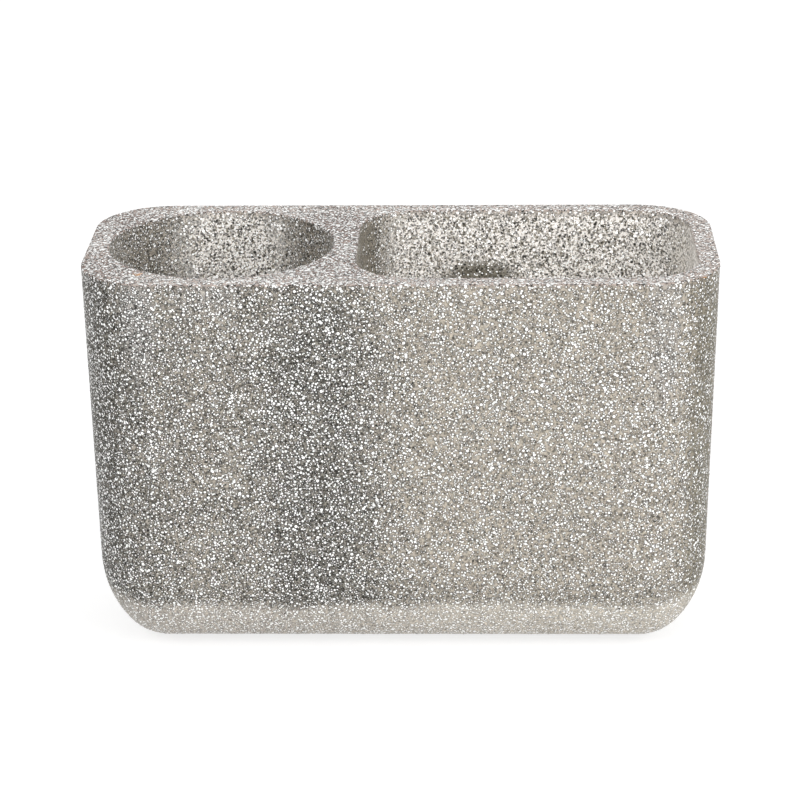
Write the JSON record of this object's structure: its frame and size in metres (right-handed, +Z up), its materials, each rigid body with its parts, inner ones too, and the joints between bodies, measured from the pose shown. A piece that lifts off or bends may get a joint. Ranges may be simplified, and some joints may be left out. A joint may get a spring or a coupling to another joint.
{
  "type": "toothbrush holder",
  "caption": "Free-standing glitter resin block with a deep round well and a wide rounded well, both open at the top, on stick-on pads.",
  "frame": {"origin": "on the surface the holder stands on, under the centre of the block", "axes": "+X along the block's length towards the wide well, +Y to the back, +Z up out of the wells"},
  "size_m": [0.14, 0.0604, 0.0895],
  "materials": {
    "glitter_resin": "gloss",
    "pad_silicone": "satin"
  },
  "bodies": {
    "root": {"body": "glitter_resin", "foot_pad_front_left": "pad_silicone", "foot_pad_front_right": "pad_silicone", "foot_pad_rear_left": "pad_silicone", "foot_pad_rear_right": "pad_silicone"}
  },
  "joints": []
}
